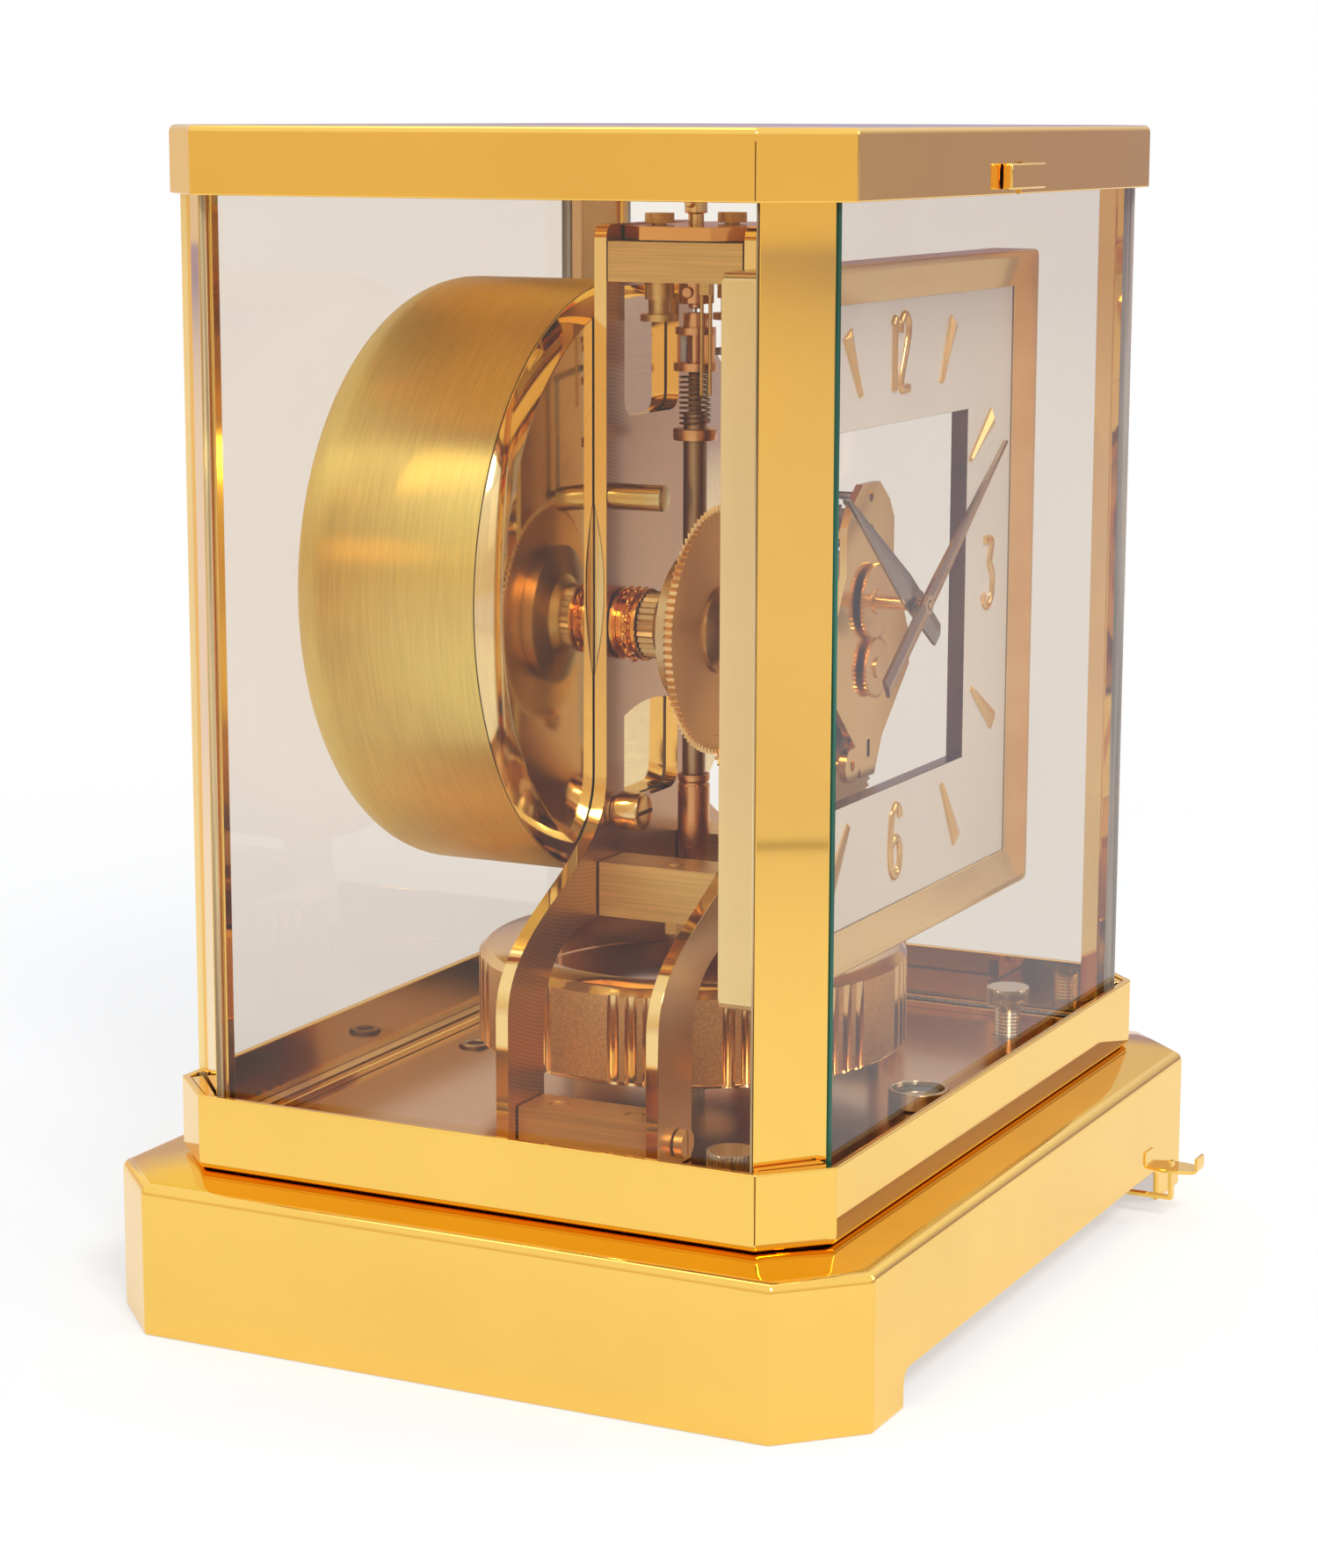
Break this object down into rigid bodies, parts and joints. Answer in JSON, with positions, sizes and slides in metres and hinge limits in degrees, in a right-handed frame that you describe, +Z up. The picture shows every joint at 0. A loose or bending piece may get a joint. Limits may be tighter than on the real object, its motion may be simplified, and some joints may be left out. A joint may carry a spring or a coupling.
{
  "type": "atmospheric clock",
  "caption": "Glazed brass mantel clock with a fluted torsion balance on a wire, a bellows housing behind arched frame plates, a square dial with a cut-out centre and a lifting front pane",
  "frame": {"origin": "centre of the footprint on the surface the clock stands on", "axes": "+Z up, -Y out of the dial, +X to the right seen from the front"},
  "size_m": [0.205, 0.1776, 0.235],
  "materials": {
    "polished_gold": "polished gold plate",
    "satin_brass": "circular satin brushing",
    "rose_brass": "fine straight brushing, copper toned",
    "pale_brass": "satin",
    "bronze": "dark satin",
    "copper": "satin",
    "steel": "brushed",
    "silvered": "silvery white satin",
    "glass": "clear",
    "mirror": "mirror polish",
    "ruby": "pale jewel"
  },
  "bodies": {
    "case": {"plinth": "polished_gold", "case_rail": "polished_gold", "floor_plate": "satin_brass", "case_lid": "polished_gold", "corner_post_front_left": "polished_gold", "corner_post_front_right": "polished_gold", "corner_post_rear_left": "polished_gold", "corner_post_rear_right": "polished_gold", "glass_left": "glass", "glass_right": "glass", "glass_rear": "glass", "rear_foot": "bronze", "spirit_level_cup": "pale_brass", "spirit_level_glass": "glass", "frame_rear_plate": "rose_brass", "frame_front_plate": "rose_brass", "foot_bar_left": "rose_brass", "foot_bar_right": "rose_brass", "arch_bar_left": "rose_brass", "arch_bar_right": "rose_brass", "top_bar": "rose_brass", "top_cover": "rose_brass", "suspension_knob": "pale_brass", "suspension_collet": "copper", "suspension_wire": "steel", "bellows_housing": "satin_brass", "housing_lid": "mirror", "bellows": "copper", "movement_bridge": "polished_gold", "dial_bezel": "polished_gold", "dial_plate": "silvered"},
    "front_pane": {"glass_front": "glass", "glass_pull": "polished_gold"},
    "lock_lever": {"lock_lever": "polished_gold"},
    "lock_carrier": {"lock_carrier": "pale_brass"},
    "levelling_left": {"levelling_screw_left": "pale_brass"},
    "levelling_right": {"levelling_screw_right": "pale_brass"},
    "balance": {"balance_ring": "rose_brass", "balance_tube": "bronze", "tube_sleeve": "copper", "tube_collar": "copper", "tube_spring": "steel", "roller_block": "copper", "impulse_pin": "ruby"},
    "push_plate": {"push_plate": "pale_brass", "bellows_spring": "steel"},
    "pulley": {"chain_pulley": "polished_gold", "winding_chain": "copper"},
    "barrel": {"great_wheel": "copper", "mainspring_barrel": "satin_brass"},
    "second_wheel": {"second_wheel": "rose_brass"},
    "intermediate_wheel": {"intermediate_wheel": "rose_brass"},
    "minute": {"minute_arbor": "rose_brass", "minute_hand": "steel"},
    "hour": {"hour_wheel": "rose_brass", "hour_hand": "steel"},
    "escape_wheel": {"escape_wheel": "steel"},
    "pallet_lever": {"pallet_lever": "steel"}
  },
  "joints": [
    {"name": "front_pane_lift", "type": "slide", "parent": "case", "child": "front_pane", "axis": [0, 0, 1], "range_m": [0, 0.0019]},
    {"name": "lock_lever_swing", "type": "hinge", "parent": "case", "child": "lock_lever", "pos_m": [0.042, 0.0108, 0.023], "axis": [0, 0, 1], "range_deg": [-24, 0]},
    {"name": "lock_lift", "type": "slide", "parent": "case", "child": "lock_carrier", "axis": [0, 0, 1], "range_m": [0, 0.0016]},
    {"name": "levelling_left_turn", "type": "hinge", "parent": "case", "child": "levelling_left", "pos_m": [-0.0725, -0.0392, 0.02], "axis": [0, 0, 1], "range_deg": [-360, 360]},
    {"name": "levelling_right_turn", "type": "hinge", "parent": "case", "child": "levelling_right", "pos_m": [0.0725, -0.0392, 0.02], "axis": [0, 0, 1], "range_deg": [-360, 360]},
    {"name": "balance_swing", "type": "hinge", "parent": "case", "child": "balance", "pos_m": [0, 0.0042, 0.142], "axis": [0, 0, 1], "range_deg": [-270, 270], "stiffness_Nm_per_rad": 0.0000088},
    {"name": "bellows_travel", "type": "slide", "parent": "case", "child": "push_plate", "axis": [0, -1, 0], "range_m": [0, 0.002], "deforming": ["bellows_spring"]},
    {"name": "pulley_turn", "type": "hinge", "parent": "case", "child": "pulley", "pos_m": [-0.0125, 0.0112, 0.1345], "axis": [0, 1, 0], "range_deg": [0, 17.35]},
    {"name": "barrel_turn", "type": "hinge", "parent": "case", "child": "barrel", "pos_m": [-0.0125, -0.0032, 0.1345], "axis": [0, 1, 0], "continuous": true},
    {"name": "second_wheel_turn", "type": "hinge", "parent": "case", "child": "second_wheel", "pos_m": [-0.008, -0.0232, 0.108], "axis": [0, 1, 0], "continuous": true},
    {"name": "intermediate_turn", "type": "hinge", "parent": "case", "child": "intermediate_wheel", "pos_m": [0.0005, -0.0282, 0.127], "axis": [0, 1, 0], "continuous": true},
    {"name": "minute_turn", "type": "hinge", "parent": "case", "child": "minute", "pos_m": [0, -0.0332, 0.1405], "axis": [0, 1, 0], "continuous": true},
    {"name": "hour_turn", "type": "hinge", "parent": "case", "child": "hour", "pos_m": [0, -0.0412, 0.1405], "axis": [0, 1, 0], "continuous": true},
    {"name": "escape_turn", "type": "hinge", "parent": "case", "child": "escape_wheel", "pos_m": [0, -0.0262, 0.15525], "axis": [0, 1, 0], "continuous": true},
    {"name": "pallet_swing", "type": "hinge", "parent": "case", "child": "pallet_lever", "pos_m": [0, -0.0232, 0.1617], "axis": [0, 1, 0], "range_deg": [-3, 3]}
  ],
  "couplings": [
    {"joint": "lock_lift", "follows": "lock_lever_swing", "m_per_rad": -0.0038193},
    {"joint": "pulley_turn", "follows": "bellows_travel", "rad_per_m": 147.06},
    {"joint": "hour_turn", "follows": "minute_turn", "ratio": 0.083333},
    {"joint": "intermediate_turn", "follows": "minute_turn", "ratio": -0.10417},
    {"joint": "second_wheel_turn", "follows": "minute_turn", "ratio": 0.010417},
    {"joint": "barrel_turn", "follows": "minute_turn", "ratio": -0.00086806},
    {"joint": "escape_turn", "follows": "minute_turn", "ratio": -4}
  ]
}
